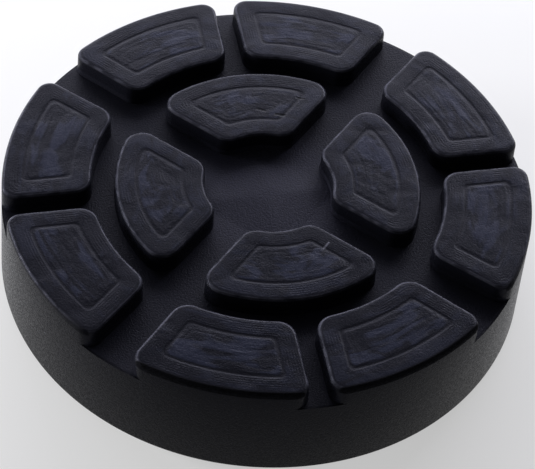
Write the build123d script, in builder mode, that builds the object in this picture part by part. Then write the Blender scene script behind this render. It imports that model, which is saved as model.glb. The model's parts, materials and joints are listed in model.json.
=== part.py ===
# A round lift pad, moulded in one piece of solid rubber: a plain disc that carries a tread
# of eight outer and four inner blocks, with a low four-sided mound between the inner ones.
# Millimetres, +Z up, with the origin at the centre of the underside.
import os
from math import atan2, cos, degrees, radians, tan

from build123d import *

# The disc
base_diameter = 120.0
pad_height = 25.5
draft_angle = 1.5  # of the side wall and of the walls of the blocks

# The tread, with its widths taken at the floor of the channels
channel_depth = 5.0
ring_channel_width = 5.0  # runs midway between the open centre and the rim
core_diameter = 28.8  # the open centre between the inner blocks
straight_slot_width = 4.3  # the four slots that face the inner blocks
diagonal_slot_width = 8.0  # the four slots that run into the centre
diagonal_slot_mouth = 9.4  # their width at the rim

# The corners of the blocks and the edges of their tops
rim_corner_radius = 3.2
inner_corner_radius = 4.3
top_edge_chamfer = 0.7

# The contour line that is sunk into the top of each block
contour_border = 4.7  # from the wall of the block to the line
contour_width = 0.7
contour_depth = 0.3

# The mound in the open centre
mound_height = 0.8
mound_overlap = 1.5  # how far its four corners run in under the inner blocks
mound_tip_width = 0.4

# Sizes that follow
base_radius = base_diameter / 2
floor_height = pad_height - channel_depth
rim_radius = base_radius - floor_height * tan(radians(draft_angle))
core_radius = core_diameter / 2
ring_radius = (core_radius + rim_radius) / 2
outer_block_start = ring_radius + ring_channel_width / 2
inner_block_end = ring_radius - ring_channel_width / 2
mound_radius = core_radius + mound_overlap
mound_run = (mound_radius - mound_tip_width / 2) * cos(radians(45))
mound_taper = degrees(atan2(mound_run, mound_height))
floor_plane = Plane.XY.offset(floor_height)
top_plane = Plane.XY.offset(pad_height)


def cut_diagonal_slot(border):
    """Cuts a slot from the centre to past the rim, wider outside the inner blocks."""
    inner_half = diagonal_slot_width / 2 + border
    mouth_half = diagonal_slot_mouth / 2 + border
    flare = (mouth_half - inner_half) / (rim_radius - inner_block_end)
    end_half = mouth_half + flare * (base_radius - rim_radius)
    Polygon(
        (0, -inner_half),
        (inner_block_end, -inner_half),
        (base_radius, -end_half),
        (base_radius, end_half),
        (inner_block_end, inner_half),
        (0, inner_half),
        align=None,
        mode=Mode.SUBTRACT,
    )


def keep_sector(*ends):
    """Keeps only what lies between the centre and the two far points."""
    Polygon((0, 0), *ends, align=None, mode=Mode.INTERSECT)


def draw_outer_block(border):
    """Draws the outer block between 0 and 45 degrees, drawn in on all sides by the border."""
    Circle(rim_radius - border)
    Circle(outer_block_start + border, mode=Mode.SUBTRACT)
    Rectangle(base_diameter, straight_slot_width + 2 * border, mode=Mode.SUBTRACT)
    with PolarLocations(0, 1, start_angle=45):
        cut_diagonal_slot(border)
    keep_sector((base_diameter, 0), (base_diameter, base_diameter))


def draw_inner_block(border):
    """Draws the inner block on +X, drawn in on all sides by the border."""
    Circle(inner_block_end - border)
    Circle(core_radius + border, mode=Mode.SUBTRACT)
    with PolarLocations(0, 2, start_angle=-45, angular_range=180):
        cut_diagonal_slot(border)
    keep_sector((base_diameter, -base_diameter), (base_diameter, base_diameter))


def make_block(draw_outline, outer_corner_radius):
    """Makes a block with drafted walls, rounded corners and a contour line in its top."""
    with BuildPart() as block:
        with BuildSketch(floor_plane) as outline:
            draw_outline(0)
            fillet(outline.vertices().sort_by_distance((0, 0))[2:], outer_corner_radius)
            fillet(outline.vertices().sort_by_distance((0, 0))[:2], inner_corner_radius)
        extrude(amount=channel_depth)
        draft(block.faces().filter_by(Plane.XY, reverse=True), floor_plane, draft_angle)
        chamfer(block.edges().group_by(Axis.Z)[-1], top_edge_chamfer)

        # The contour line: the field is sunk, and all but its border is raised again
        with BuildSketch(top_plane):
            draw_outline(contour_border)
        extrude(amount=-contour_depth, mode=Mode.SUBTRACT)
        with BuildSketch(top_plane):
            draw_outline(contour_border + contour_width)
        extrude(amount=-contour_depth)
    return block.part


with BuildPart() as outer_pair:
    add(make_block(draw_outer_block, rim_corner_radius))
    mirror(about=Plane.XZ)

with BuildPart() as rubber_pad:
    # The disc, up to the floor of the channels
    with BuildSketch():
        Circle(base_radius)
    extrude(amount=floor_height, taper=draft_angle)

    # The mound, with its corners towards the middles of the inner blocks
    with BuildSketch(floor_plane):
        RegularPolygon(mound_radius, 4)
    extrude(amount=mound_height, taper=mound_taper)

    # The tread
    with PolarLocations(0, 4):
        add(outer_pair.part)
        add(make_block(draw_inner_block, inner_corner_radius))

rubber_pad.part.label = "rubber_pad"
os.makedirs("parts", exist_ok=True)
export_step(rubber_pad.part, "parts/rubber_pad.step")
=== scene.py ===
import json
from functools import partial
from math import atan2, cos, hypot, pi, radians, sin, sqrt, tau

import bmesh
import bpy
from mathutils import Matrix, Vector

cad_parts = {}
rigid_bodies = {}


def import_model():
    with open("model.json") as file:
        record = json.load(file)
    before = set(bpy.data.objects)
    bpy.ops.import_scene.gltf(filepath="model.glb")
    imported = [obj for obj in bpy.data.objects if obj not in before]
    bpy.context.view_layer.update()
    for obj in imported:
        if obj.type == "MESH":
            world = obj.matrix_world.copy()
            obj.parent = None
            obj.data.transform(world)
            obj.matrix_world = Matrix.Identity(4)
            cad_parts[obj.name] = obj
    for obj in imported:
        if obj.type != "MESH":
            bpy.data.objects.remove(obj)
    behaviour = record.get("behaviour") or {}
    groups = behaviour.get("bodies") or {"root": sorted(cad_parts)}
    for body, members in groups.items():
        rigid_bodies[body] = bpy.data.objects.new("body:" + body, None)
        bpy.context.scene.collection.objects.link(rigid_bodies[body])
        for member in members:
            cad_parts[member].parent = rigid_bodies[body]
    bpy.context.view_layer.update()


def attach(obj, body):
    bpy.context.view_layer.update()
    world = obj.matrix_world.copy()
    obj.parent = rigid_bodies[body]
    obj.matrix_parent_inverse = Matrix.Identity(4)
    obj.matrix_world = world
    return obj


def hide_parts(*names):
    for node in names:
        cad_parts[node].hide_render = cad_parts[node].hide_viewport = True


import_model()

# Sizes are in millimetres, but for those of the lamps and the studio's floor, in metres
MM = 0.001

# The disc
BASE_RADIUS = 60.0
PAD_HEIGHT = 25.5
CHANNEL_DEPTH = 5.0
FLOOR_HEIGHT = PAD_HEIGHT - CHANNEL_DEPTH
DRAFT = 0.0262  # how far a wall leans in for each millimetre of height
RIM_RADIUS = BASE_RADIUS - FLOOR_HEIGHT * DRAFT
DISC_SIDES = 256
UNDERSIDE_BEVEL = 0.5
BEVEL_SEGMENTS = 3

# The tread, at the floor of the channels
CORE_RADIUS = 14.4
RING_RADIUS = (CORE_RADIUS + RIM_RADIUS) / 2
RING_HALF = 2.5
STRAIGHT_HALF = 2.15
DIAGONAL_HALF = 4.0
DIAGONAL_MOUTH_HALF = 4.7
OUTER_START = RING_RADIUS + RING_HALF
INNER_END = RING_RADIUS - RING_HALF

# The corners of the blocks and of the mound, seen from above
RIM_CORNER = 3.2
INNER_CORNER = 4.3
MOUND_CORNER = 1.25
LEAST_CORNER = 1.3  # the least radius that a block's corner is drawn with
CORNER_SHRINK = 0.75  # how much smaller that radius gets for each millimetre further in
CORNER_STEPS = 8

BLOCK_LOOPS = [
    # inset from the foot, height over the plane of the tops
    (-0.018, -5.4),
    (0.1, -0.87),
    (0.125, -0.7),
    (0.165, -0.545),
    (0.245, -0.39),
    (0.35, -0.27),
    (0.475, -0.17),
    (0.625, -0.095),
    (0.78, -0.045),
    (0.95, -0.02),
    (1.3, 0.0),
    (2.7, -0.025),
    (4.2, 0.0),
    (4.45, -0.025),
    (4.65, -0.08),
    (4.95, -0.105),
    (5.25, -0.04),
    (5.7, 0.0),
    (6.8, -0.025),
    (8.3, 0.0),
]
MOUND_LOOPS = [
    # distance of the sides from the middle, height over the floor of the channels
    (15.0, -0.34),
    (9.0, 0.2),
    (5.0, 0.556),
    (3.0, 0.725),
    (2.0, 0.79),
    (1.3, 0.82),
]
MERGE_DISTANCE = 0.01
SMOOTH_ANGLE = radians(35)
INSET = "inset"  # the attribute that holds how far in from its block's wall a point lies

# The camera, from the pad's outlines in the photograph
VIEW_TURN = radians(15.55)
VIEW_DROP = radians(48.99)
VIEW_ROLL = radians(6.17)
VIEW_TARGET = (-3.29, -15.5, PAD_HEIGHT)
VIEW_DISTANCE = 452.7
LENS = 139.3
CLIP_START = 10.0

# The rubber's colours, and the painted light and shade laid on it
BLACK_RUBBER = (0.0045, 0.0047, 0.0075, 1)
BLOOM = (0.02, 0.0225, 0.038, 1)
# painted light on the floors of the channels
PAINTED_FLOOR_LIGHT = (0.02, 0.02, 0.031, 1)
# wear and painted highlight on the rounded edges of the tops
EDGE_WEAR_AND_HIGHLIGHT = (0.06, 0.061, 0.08, 1)
# painted shade on the side wall and under the front of the rim
PAINTED_WALL_SHADE = (0.001, 0.001, 0.001, 1)
# painted shade in the contour grooves
CONTOUR_SHADE = (0.007, 0.007, 0.01, 1)
DARK_MARK = (0.004, 0.004, 0.005, 1)
PALE_MARK = (0.08, 0.08, 0.1, 1)
GREY_SPECK = (0.03, 0.031, 0.043, 1)
GLOSS_TINT = (0.74, 0.75, 1, 1)
GLOSS_LEVEL = 0.057
STREAK_RADIUS = 40  # where the streaks on the tops are as long as they are asked to be

# The studio
WHITE = (1, 1, 1, 1)
FLOOR_SIZE = 4.0
FLOOR_GREY = (0.75, 0.75, 0.75, 1)
FLOOR_WHITENESS = 0.5  # how far the floor shows as plain white
WORLD_LIGHT = 0.07
WORLD_SHOWN = 0.35  # how much brighter the surround shows than it lights
NEUTRAL = (1, 1, 1)
COOL = (0.9, 0.9, 1.0)
LAMPS = [
    # name, azimuth and elevation in degrees, distance and size in metres, watts, colour
    ("back_lamp", 50, 26, 0.5, 0.26, 1.9, COOL),
    ("middle_back_lamp", 86, 27, 0.5, 0.3, 1.85, COOL),
    ("back_left_lamp", 120, 20, 0.5, 0.28, 1.3, COOL),
    ("left_lamp", 157, 9, 0.42, 0.13, 2.1, NEUTRAL),
    ("far_left_lamp", 190, 10, 1.0, 0.4, 1.5, NEUTRAL),
]


def metres(x, y, z=0.0):
    """A point in Blender's metres, from millimetres."""
    return Vector((x * MM, y * MM, z * MM))


def turned(x, y, angle):
    """A point of the plane, turned about the origin."""
    return Vector((x * cos(angle) - y * sin(angle), x * sin(angle) + y * cos(angle)))


def turn_between(start, end):
    """The turn from one direction to another, counter-clockwise."""
    return (atan2(end.y, end.x) - atan2(start.y, start.x)) % tau


def place_camera():
    """Sets the camera to the photograph's point of view."""
    right = Vector((cos(VIEW_TURN), -sin(VIEW_TURN), 0))
    ahead = Vector(
        (
            sin(VIEW_TURN) * cos(VIEW_DROP),
            cos(VIEW_TURN) * cos(VIEW_DROP),
            -sin(VIEW_DROP),
        )
    )
    above = right.cross(ahead)
    level = Matrix((right, above, -ahead)).transposed()
    rolled = level @ Matrix.Rotation(VIEW_ROLL, 3, "Z")
    camera = bpy.data.objects.new("camera", bpy.data.cameras.new("camera"))
    bpy.context.collection.objects.link(camera)
    camera.matrix_world = rolled.to_4x4()
    camera.location = metres(*VIEW_TARGET) - ahead * VIEW_DISTANCE * MM
    camera.data.lens = LENS
    camera.data.clip_start = CLIP_START * MM
    bpy.context.scene.camera = camera


# Selecting


def deselect_all():
    """Leaves nothing selected, as a new primitive needs."""
    bpy.ops.object.select_all(action="DESELECT")


def select_only(*pieces):
    """Selects these pieces alone, the first of them as the active one."""
    deselect_all()
    for piece in pieces:
        piece.select_set(True)
    bpy.context.view_layer.objects.active = pieces[0]


def edit_mesh():
    """The mesh that is open in edit mode."""
    return bmesh.from_edit_mesh(bpy.context.object.data)


def select_where(kind, wanted):
    """Selects, in edit mode, the edges or the faces for which the test holds."""
    bpy.ops.mesh.select_mode(type=kind)
    bpy.ops.mesh.select_all(action="DESELECT")
    mesh = edit_mesh()
    for element in mesh.edges if kind == "EDGE" else mesh.faces:
        if wanted(element):
            element.select_set(True)
    mesh.select_flush_mode()
    bmesh.update_edit_mesh(bpy.context.object.data)


def is_open(edge):
    return len(edge.link_faces) < 2


# Drawing a loop in edit mode, as one path from a single vertex


def start_path(point):
    """Puts down the path's first vertex and leaves it selected."""
    bpy.ops.mesh.select_mode(type="VERT")
    bpy.ops.mesh.select_all(action="DESELECT")
    bpy.ops.mesh.primitive_plane_add(size=MM, location=point)
    bpy.ops.mesh.merge(type="CENTER")


def draw_line(step, steps):
    """Goes on in a straight line."""
    for _ in range(steps):
        bpy.ops.mesh.extrude_region_move(TRANSFORM_OT_translate={"value": step / steps})


def draw_arc(centre, turn, steps):
    """Goes on round a centre, counter-clockwise where the turn is positive."""
    bpy.ops.mesh.spin(steps=steps, angle=-turn, center=centre, axis=(0, 0, 1))


def close_path():
    """Joins the path's end to its start and leaves the whole loop selected."""
    bpy.ops.mesh.select_linked()
    bpy.ops.mesh.remove_doubles(threshold=MERGE_DISTANCE * MM)


def model_from_loops(name, loops, draw_loop):
    """Models a closed piece from loops, each bridged to the one before it."""
    deselect_all()
    bpy.ops.mesh.primitive_plane_add(size=MM)
    piece = bpy.context.object
    piece.name = name
    piece.data.attributes.new(INSET, "FLOAT", "POINT")
    bpy.ops.object.mode_set(mode="EDIT")
    bpy.ops.mesh.delete(type="VERT")
    draw_loop(*loops[0])
    bpy.ops.mesh.edge_face_add()
    for loop in loops[1:]:
        draw_loop(*loop)
        select_where("EDGE", is_open)
        bpy.ops.mesh.bridge_edge_loops()
    select_where("EDGE", is_open)
    bpy.ops.mesh.edge_face_add()
    bpy.ops.mesh.select_all(action="SELECT")
    bpy.ops.mesh.normals_make_consistent(inside=False)
    bpy.ops.object.mode_set(mode="OBJECT")
    return piece


# The blocks of the tread


class Side:
    """A straight side of a block: the block lies on the side of the normal, past the offset."""

    def __init__(self, outward, normal, offset):
        self.outward = Vector(outward)
        self.normal = Vector(normal)
        self.offset = offset

    def corner(self, radius, rounding, border):
        """The centre of a corner's rounding, at that distance from the pad's axis."""
        off = self.offset + border + rounding
        return self.normal * off + self.outward * sqrt(radius**2 - off**2)


flare = atan2(DIAGONAL_MOUTH_HALF - DIAGONAL_HALF, RIM_RADIUS - INNER_END)
OUTER_BLOCK = {
    "sides": (
        Side((1, 0), (0, 1), STRAIGHT_HALF),
        Side(
            turned(cos(-flare), sin(-flare), pi / 4),
            turned(sin(-flare), -cos(-flare), pi / 4),
            DIAGONAL_HALF * cos(flare) - INNER_END * sin(flare),
        ),
    ),
    "outer": RIM_RADIUS,
    "inner": OUTER_START,
    "outer_corner": RIM_CORNER,
    "outer_steps": 26,
    "inner_steps": 16,
    "side_steps": 6,
}
INNER_BLOCK = {
    "sides": (
        Side(turned(1, 0, -pi / 4), turned(0, 1, -pi / 4), DIAGONAL_HALF),
        Side(turned(1, 0, pi / 4), turned(0, -1, pi / 4), DIAGONAL_HALF),
    ),
    "outer": INNER_END,
    "inner": CORE_RADIUS,
    "outer_corner": INNER_CORNER,
    "outer_steps": 28,
    "inner_steps": 10,
    "side_steps": 6,
}


def draw_block_loop(block, border, height):
    """Draws a block's outline at a height, drawn in by the border, with rounded corners."""
    first, second = block["sides"]
    outer = block["outer"] - border
    inner = block["inner"] + border
    outer_round = max(block["outer_corner"] - CORNER_SHRINK * border, LEAST_CORNER)
    inner_round = max(INNER_CORNER - CORNER_SHRINK * border, LEAST_CORNER)

    # The centres of the four roundings, then the ends of the two straight sides
    a_in = first.corner(inner + inner_round, inner_round, border)
    a_out = first.corner(outer - outer_round, outer_round, border)
    b_out = second.corner(outer - outer_round, outer_round, border)
    b_in = second.corner(inner + inner_round, inner_round, border)
    first_start = a_in - first.normal * inner_round
    first_end = a_out - first.normal * outer_round
    second_start = b_out - second.normal * outer_round
    second_end = b_in - second.normal * inner_round

    start_path(metres(*first_start, PAD_HEIGHT + height))
    draw_line(metres(*(first_end - first_start)), block["side_steps"])
    draw_arc(metres(*a_out), turn_between(-first.normal, a_out), CORNER_STEPS)
    draw_arc((0, 0, 0), turn_between(a_out, b_out), block["outer_steps"])
    draw_arc(metres(*b_out), turn_between(b_out, -second.normal), CORNER_STEPS)
    draw_line(metres(*(second_end - second_start)), block["side_steps"])
    draw_arc(metres(*b_in), turn_between(-second.normal, -b_in), CORNER_STEPS)
    draw_arc((0, 0, 0), -turn_between(a_in, b_in), block["inner_steps"])
    draw_arc(metres(*a_in), turn_between(-a_in, -first.normal), CORNER_STEPS)
    close_path()

    mesh = edit_mesh()
    inset = mesh.verts.layers.float[INSET]
    for vert in mesh.verts:
        if vert.select:
            vert[inset] = border
    bmesh.update_edit_mesh(bpy.context.object.data)


def model_block(name, block):
    """Models one block, from the foot of its walls to the middle of its top."""
    return model_from_loops(name, BLOCK_LOOPS, partial(draw_block_loop, block))


# The disc and its mound


def model_disc():
    """Models the disc, with a leaning wall and a softened edge round its underside."""
    deselect_all()
    bpy.ops.mesh.primitive_cylinder_add(
        vertices=DISC_SIDES,
        radius=BASE_RADIUS * MM,
        depth=FLOOR_HEIGHT * MM,
        location=metres(0, 0, FLOOR_HEIGHT / 2),
    )
    disc = bpy.context.object
    disc.name = "disc"
    bpy.ops.object.transform_apply()
    bpy.ops.object.mode_set(mode="EDIT")
    select_where("FACE", lambda face: face.normal.z > 0.9)
    scale = RIM_RADIUS / BASE_RADIUS
    bpy.ops.transform.resize(value=(scale, scale, 1), center_override=metres(0, 0, FLOOR_HEIGHT))
    select_where("EDGE", lambda edge: max(vert.co.z for vert in edge.verts) < 0.1 * MM)
    bpy.ops.mesh.bevel(offset=UNDERSIDE_BEVEL * MM, segments=BEVEL_SEGMENTS, affect="EDGES")
    bpy.ops.object.mode_set(mode="OBJECT")
    return disc


def draw_mound_loop(reach, height):
    """Draws a rounded square whose corners point to the middles of the inner blocks."""
    corner = (reach - MOUND_CORNER) * sqrt(2)
    start = Vector((corner, 0)) + turned(MOUND_CORNER, 0, pi / 4)
    start_path(metres(*start, FLOOR_HEIGHT + height))
    for quarter in range(4):
        side = turned(-corner, corner, quarter * pi / 2)
        centre = turned(0, corner, quarter * pi / 2)
        draw_line(metres(*side), 1)
        draw_arc(metres(*centre), pi / 2, CORNER_STEPS)
    close_path()


# Putting the pieces together


def edit_copy(piece):
    """Copies a piece, with its own mesh, and opens the copy in edit mode, all selected."""
    select_only(piece)
    bpy.ops.object.duplicate()
    bpy.ops.object.mode_set(mode="EDIT")
    bpy.ops.mesh.select_all(action="SELECT")


def mirrored_twin(piece):
    """Copies a piece to the other side of the XZ plane."""
    edit_copy(piece)
    bpy.ops.transform.resize(value=(1, -1, 1), center_override=(0, 0, 0))
    bpy.ops.mesh.normals_make_consistent(inside=False)
    bpy.ops.object.mode_set(mode="OBJECT")
    return bpy.context.object


def join(*pieces):
    """Joins pieces in the first of them, without changing their meshes."""
    select_only(*pieces)
    bpy.ops.object.join()
    return pieces[0]


def copy_round(piece, turns):
    """Sets that many copies of a piece round the pad's axis, and joins them."""
    copies = [piece]
    for turn in range(1, turns):
        edit_copy(piece)
        bpy.ops.transform.rotate(
            value=turn * tau / turns, orient_axis="Z", center_override=(0, 0, 0)
        )
        bpy.ops.object.mode_set(mode="OBJECT")
        copies.append(bpy.context.object)
    return join(*copies)


def unite(piece, other):
    """Unites two closed pieces in the first of them."""
    modifier = piece.modifiers.new("union", "BOOLEAN")
    modifier.operation = "UNION"
    modifier.solver = "MANIFOLD"
    modifier.object = other
    select_only(piece)
    bpy.ops.object.modifier_apply(modifier=modifier.name)
    bpy.data.objects.remove(other)


def model_pad():
    """Models the whole pad as one closed piece."""
    outer = model_block("outer_block", OUTER_BLOCK)
    outer_blocks = copy_round(join(outer, mirrored_twin(outer)), 4)
    inner_blocks = copy_round(model_block("inner_block", INNER_BLOCK), 4)
    pad = model_disc()
    unite(pad, model_from_loops("mound", MOUND_LOOPS, draw_mound_loop))
    unite(pad, outer_blocks)
    unite(pad, inner_blocks)
    pad.name = "pad"
    select_only(pad)
    bpy.ops.object.shade_smooth_by_angle(angle=SMOOTH_ANGLE)
    return pad


# Shaders


class Wire:
    """An output in a shader. An expression on wires adds the Math nodes that work it out."""

    def __init__(self, shader, socket):
        self.shader = shader
        self.socket = socket

    def beside(self, output):
        """Another output of the same node."""
        return Wire(self.shader, self.socket.node.outputs[output])

    def maths(self, operation, *terms):
        return self.shader.add("ShaderNodeMath", {"operation": operation}, dict(enumerate(terms)))

    def __add__(self, other):
        return self.maths("ADD", self, other)

    __radd__ = __add__

    def __sub__(self, other):
        return self.maths("SUBTRACT", self, other)

    def __rsub__(self, other):
        return self.maths("SUBTRACT", other, self)

    def __mul__(self, other):
        return self.maths("MULTIPLY", self, other)

    __rmul__ = __mul__

    def __truediv__(self, other):
        return self.maths("DIVIDE", self, other)

    def __rtruediv__(self, other):
        return self.maths("DIVIDE", other, self)

    def __abs__(self):
        return self.maths("ABSOLUTE", self)

    def most(self, other):
        return self.maths("MAXIMUM", self, other)

    def root(self):
        return self.maths("SQRT", self)

    def wave(self):
        return self.maths("SINE", self)

    def rise(self, low, high):
        """Goes smoothly from 0 to 1 while this goes from low to high."""
        return self.shader.add(
            "ShaderNodeMapRange",
            {"interpolation_type": "SMOOTHSTEP"},
            {"Value": self, "From Min": low, "From Max": high},
        )


class Shader:
    """The nodes of a material or of the world."""

    def __init__(self, owner):
        owner.use_nodes = True
        self.owner = owner
        self.tree = owner.node_tree
        self.tree.nodes.clear()

    def add(self, kind, settings=None, inputs=None, output=0):
        """Adds a node, sets it, then gives its sockets their values or links."""
        node = self.tree.nodes.new(kind)
        for name, value in (settings or {}).items():
            setattr(node, name, value)
        for name, value in (inputs or {}).items():
            if isinstance(value, Wire):
                self.tree.links.new(value.socket, node.inputs[name])
            else:
                node.inputs[name].default_value = value
        return Wire(self, node.outputs[output]) if node.outputs else None

    def blend(self, factor, first, second):
        """Mixes two colours, which the node takes in its sockets 6 and 7."""
        return self.add(
            "ShaderNodeMix",
            {"data_type": "RGBA"},
            {"Factor": factor, 6: first, 7: second},
            output=2,
        )

    def noise(self, place, scale, detail=2.0, roughness=0.5, distortion=0.0):
        return self.add(
            "ShaderNodeTexNoise",
            {},
            {
                "Vector": place,
                "Scale": scale,
                "Detail": detail,
                "Roughness": roughness,
                "Distortion": distortion,
            },
        )


def mark(x, y, start, end, half_width):
    """A short straight mark on the tops, as a value that is 1 on it, from points in millimetres."""
    along_x, along_y = end[0] - start[0], end[1] - start[1]
    length = hypot(along_x, along_y)
    from_x, from_y = x - start[0], y - start[1]
    along = (from_x * along_x + from_y * along_y) / length
    across = abs((from_y * along_x - from_x * along_y) / length)
    past = abs(along - length / 2) - length / 2
    return 1 - across.most(past).rise(half_width * 0.5, half_width * 1.5)


def make_rubber():
    """Black moulded rubber, a little bluish, with the marks of its mould and of handling, and
    painted light and shade on its floors, edges, grooves and walls.
    """
    rubber = Shader(bpy.data.materials.new("rubber"))
    place = rubber.add("ShaderNodeTexCoord", output="Object")
    millimetres = rubber.add(
        "ShaderNodeVectorMath", {"operation": "SCALE"}, {0: place, "Scale": 1 / MM}
    )
    x = rubber.add("ShaderNodeSeparateXYZ", {}, {0: millimetres}, output="X")
    y = x.beside("Y")
    z = x.beside("Z")
    radius = (x * x + y * y).root()
    inset = rubber.add("ShaderNodeAttribute", {"attribute_name": INSET}, output="Fac")

    def streaks(across, along, detail, distortion, shift):
        """Noise that runs round the pad: narrow across the radius, long along it."""
        stretched = rubber.add(
            "ShaderNodeCombineXYZ",
            {},
            {
                0: x / radius * (STREAK_RADIUS / along) + shift,
                1: y / radius * (STREAK_RADIUS / along),
                2: radius / across,
            },
        )
        return rubber.noise(stretched, 1.0, detail, 0.55, distortion)

    # The tops, with their fields, borders and contour lines
    top = z.rise(PAD_HEIGHT - 0.4, PAD_HEIGHT - 0.15)
    field = top * inset.rise(5.0, 5.6)
    border = top * inset.rise(0.9, 1.3) * (1 - inset.rise(4.2, 4.6))
    groove = inset.rise(4.5, 4.65) * (1 - inset.rise(5.2, 5.5))

    # The rounded edges of the tops, lightened as a painted highlight with some wear, but for the
    # band of painted shade at the front of the rim
    rim = radius.rise(58.3, 58.8)
    under_rim = rim * z.rise(PAD_HEIGHT - 1.7, PAD_HEIGHT - 1.3) * (1 - y.rise(-42, -26))
    edge = (
        z.rise(PAD_HEIGHT - 1.1, PAD_HEIGHT - 0.6)
        * inset.rise(0.12, 0.3)
        * (1 - inset.rise(0.6, 0.9))
        * (1 - under_rim)
    )

    # The floor of the channels, painted lighter in the open centre, and the side wall
    channel_floor = (1 - radius.rise(58.8, 59.2)) * (
        1 - z.rise(FLOOR_HEIGHT + 1.1, FLOOR_HEIGHT + 1.7)
    )
    side_wall = radius.rise(59.0, 59.3)

    # A pale bloom, smeared over the fields and thinner on their borders
    smears = streaks(3.6, 12, 2, 1.5, 3.0)
    patches = rubber.noise(millimetres, 0.12, 2, 0.45, 0.5)
    bloom = (smears * 0.6 + patches * 0.5).rise(0.52, 0.65) * (field + border * 0.4)
    edge_wear_and_highlight_noise = rubber.noise(millimetres, 0.35, 3).rise(0.35, 0.65)
    grain = rubber.noise(millimetres, 2.2, 2, 0.8)
    speckle = grain.rise(0.4, 0.6)
    # Painted light on the channel floors: lightest in the open centre, fading to painted shade in
    # the outer channels, broken by grain
    floor_light = channel_floor * (0.4 + speckle * 0.6) * (1 - radius.rise(14, 24) * 0.8)

    # Nicks and rub marks on the tops
    dark_marks = (
        mark(x, y, (1.6, 22.4), (3.2, 21.6), 0.3)
        + mark(x, y, (5.6, 20.2), (7.4, 19.6), 0.35)
        + mark(x, y, (11.4, 24.9), (12.9, 24.3), 0.25)
    )
    pale_marks = mark(x, y, (8.1, -21.2), (9.6, -19.6), 0.22)

    shade = rubber.blend(bloom * 0.9, BLACK_RUBBER, BLOOM)
    # Painted light on the floors of the channels
    shade = rubber.blend(floor_light, shade, PAINTED_FLOOR_LIGHT)
    # Painted highlight along the rounded edges of the tops, broken up by wear
    shade = rubber.blend(edge * (0.2 + edge_wear_and_highlight_noise * 0.6), shade, EDGE_WEAR_AND_HIGHLIGHT)
    # Painted shade darkening the side wall
    shade = rubber.blend(side_wall * 0.6, shade, PAINTED_WALL_SHADE)
    # Painted shade: a dark band under the front edge of the rim
    shade = rubber.blend(under_rim, shade, PAINTED_WALL_SHADE)
    # Painted shade in the contour grooves round the fields
    shade = rubber.blend(groove * 0.5 * top, shade, CONTOUR_SHADE)
    shade = rubber.blend(dark_marks * top, shade, DARK_MARK)
    shade = rubber.blend(pale_marks * top, shade, PALE_MARK)
    shade = rubber.blend((1 - speckle) * 0.1, shade, GREY_SPECK)

    # The fields swell and dip a little, and the mould's cutter left broken lines round them
    swells = streaks(3.4, 11, 2, 1.2, 11.0)
    broken = streaks(2.6, 7, 2, 0.4, 7.0).rise(0.48, 0.62)
    cutter = (inset * (tau / 0.6)).wave() * broken * border
    ripples = (inset * (tau / 1.3) + swells * 9).wave() * (1 - broken) * field
    height = (
        (swells - 0.5) * field * 0.12
        + ripples * 0.008
        + cutter * 0.009
        + patches * top * 0.3
        + grain * (0.08 + channel_floor * 0.07)
        + (pale_marks - dark_marks) * top * 0.08
    )
    relief = rubber.add("ShaderNodeBump", {}, {"Strength": 1.0, "Distance": MM, "Height": height})

    roughness = (
        0.22
        + speckle * 0.17
        + channel_floor * 0.12
        - bloom * 0.05
        - edge * 0.08
        + under_rim * 0.6
    )
    surface = rubber.add(
        "ShaderNodeBsdfPrincipled",
        {},
        {
            "Base Color": shade,
            "Roughness": roughness,
            "Specular IOR Level": GLOSS_LEVEL,
            "Specular Tint": GLOSS_TINT,
            "Normal": relief,
        },
    )
    rubber.add("ShaderNodeOutputMaterial", {}, {"Surface": surface})
    return rubber.owner


# The studio


def seen_directly(shader):
    """1 for the rays that show a surround: the camera's, and those of gloss and glass."""
    camera = shader.add("ShaderNodeLightPath", output="Is Camera Ray")
    glossy = camera.beside("Is Glossy Ray")
    through = camera.beside("Is Transmission Ray")
    return camera.most(glossy).most(through)


def make_floor():
    """The pale floor, which looks lighter than it lights, and keeps the pad's shadow."""
    floor = Shader(bpy.data.materials.new("floor"))
    shown_white = seen_directly(floor) * FLOOR_WHITENESS
    matte = floor.add("ShaderNodeBsdfDiffuse", {}, {"Color": FLOOR_GREY})
    white = floor.add("ShaderNodeEmission", {}, {"Color": WHITE, "Strength": 1.0})
    surface = floor.add("ShaderNodeMixShader", {}, {0: shown_white, 1: matte, 2: white})
    floor.add("ShaderNodeOutputMaterial", {}, {"Surface": surface})
    return floor.owner


def light_world():
    """A plain pale surround, which looks lighter than it lights."""
    world = bpy.data.worlds.new("studio")
    bpy.context.scene.world = world
    studio = Shader(world)
    strength = WORLD_LIGHT + seen_directly(studio) * WORLD_SHOWN
    light = studio.add("ShaderNodeBackground", {}, {"Color": WHITE, "Strength": strength})
    studio.add("ShaderNodeOutputWorld", {}, {"Surface": light})


def hang_lamp(name, azimuth, elevation, distance, size, power, colour):
    """Hangs a square lamp that faces the pad."""
    lamp = bpy.data.lights.new(name, "AREA")
    lamp.size = size
    lamp.energy = power
    lamp.color = colour
    holder = bpy.data.objects.new(name, lamp)
    bpy.context.collection.objects.link(holder)
    across = cos(radians(elevation))
    towards = Vector(
        (
            across * cos(radians(azimuth)),
            across * sin(radians(azimuth)),
            sin(radians(elevation)),
        )
    )
    holder.location = towards * distance
    holder.rotation_euler = towards.to_track_quat("Z", "Y").to_euler()
    holder.visible_camera = False


place_camera()

pad = model_pad()
pad.data.materials.clear()
pad.data.materials.append(make_rubber())
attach(pad, "root")
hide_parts("rubber_pad")

deselect_all()
bpy.ops.mesh.primitive_plane_add(size=FLOOR_SIZE)
floor = bpy.context.object
floor.name = "floor"
floor.data.materials.append(make_floor())

light_world()
for lamp in LAMPS:
    hang_lamp(*lamp)
bpy.context.scene.view_settings.view_transform = "Standard"
